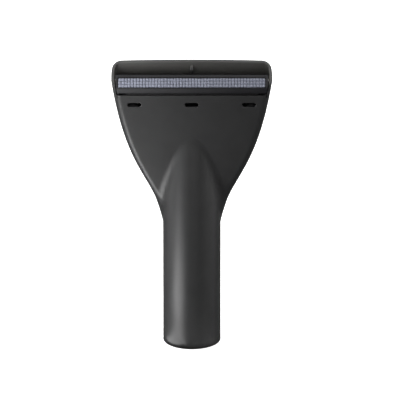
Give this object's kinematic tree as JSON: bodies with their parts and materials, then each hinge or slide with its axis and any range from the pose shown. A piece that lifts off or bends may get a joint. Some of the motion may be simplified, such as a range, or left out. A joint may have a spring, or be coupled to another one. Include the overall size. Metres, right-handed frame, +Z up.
{
  "type": "vacuum cleaner upholstery nozzle",
  "caption": "Flared upholstery nozzle for a vacuum cleaner: round wand socket, wide slanted suction mouth and a tilting sprung lint strip.",
  "frame": {"origin": "centre of the neck's open end, which is also the mouth of the wand socket", "axes": "+Z up the neck's axis from its open end, -Y the side that faces the cloth, +X across the head to the viewer's right when that side faces the viewer"},
  "size_m": [0.1102, 0.0505, 0.2105],
  "materials": {
    "shell": "matte charcoal moulding with a fine spark-eroded texture",
    "trim": "smooth near-black moulding, a little glossier than the shells",
    "socket": "smooth black moulding",
    "seal_rubber": "matte black rubber",
    "screw_steel": "zinc-plated steel",
    "pin_steel": "dark turned steel",
    "spring_steel": "bright spring wire",
    "pile": "short cut pile in pale blue grey, woven in rows of tufts"
  },
  "bodies": {
    "root": {"front_shell": "shell", "rear_cover": "shell", "wand_socket": "socket", "socket_seal": "seal_rubber", "post_lower_left": "shell", "post_lower_right": "shell", "post_upper_left": "shell", "post_upper_right": "shell", "screw_lower_left": "screw_steel", "screw_lower_right": "screw_steel", "screw_upper_left": "screw_steel", "screw_upper_right": "screw_steel", "spring_rail": "shell", "spring_left": "spring_steel", "spring_right": "spring_steel", "pin_left": "pin_steel", "pin_right": "pin_steel", "gap_seal": "seal_rubber"},
    "tilting_strip": {"strip_carrier": "trim", "strip_bezel": "trim", "strip_backing": "seal_rubber", "lint_strip": "pile"}
  },
  "joints": [
    {"name": "strip_tilt", "type": "hinge", "parent": "root", "child": "tilting_strip", "pos_m": [0, -0.02209, 0.19825], "axis": [1, 0, 0], "range_deg": [0, 5], "stiffness_Nm_per_rad": 0.05, "springref_deg": -6.88, "deforming": ["spring_left", "spring_right", "gap_seal"]}
  ]
}
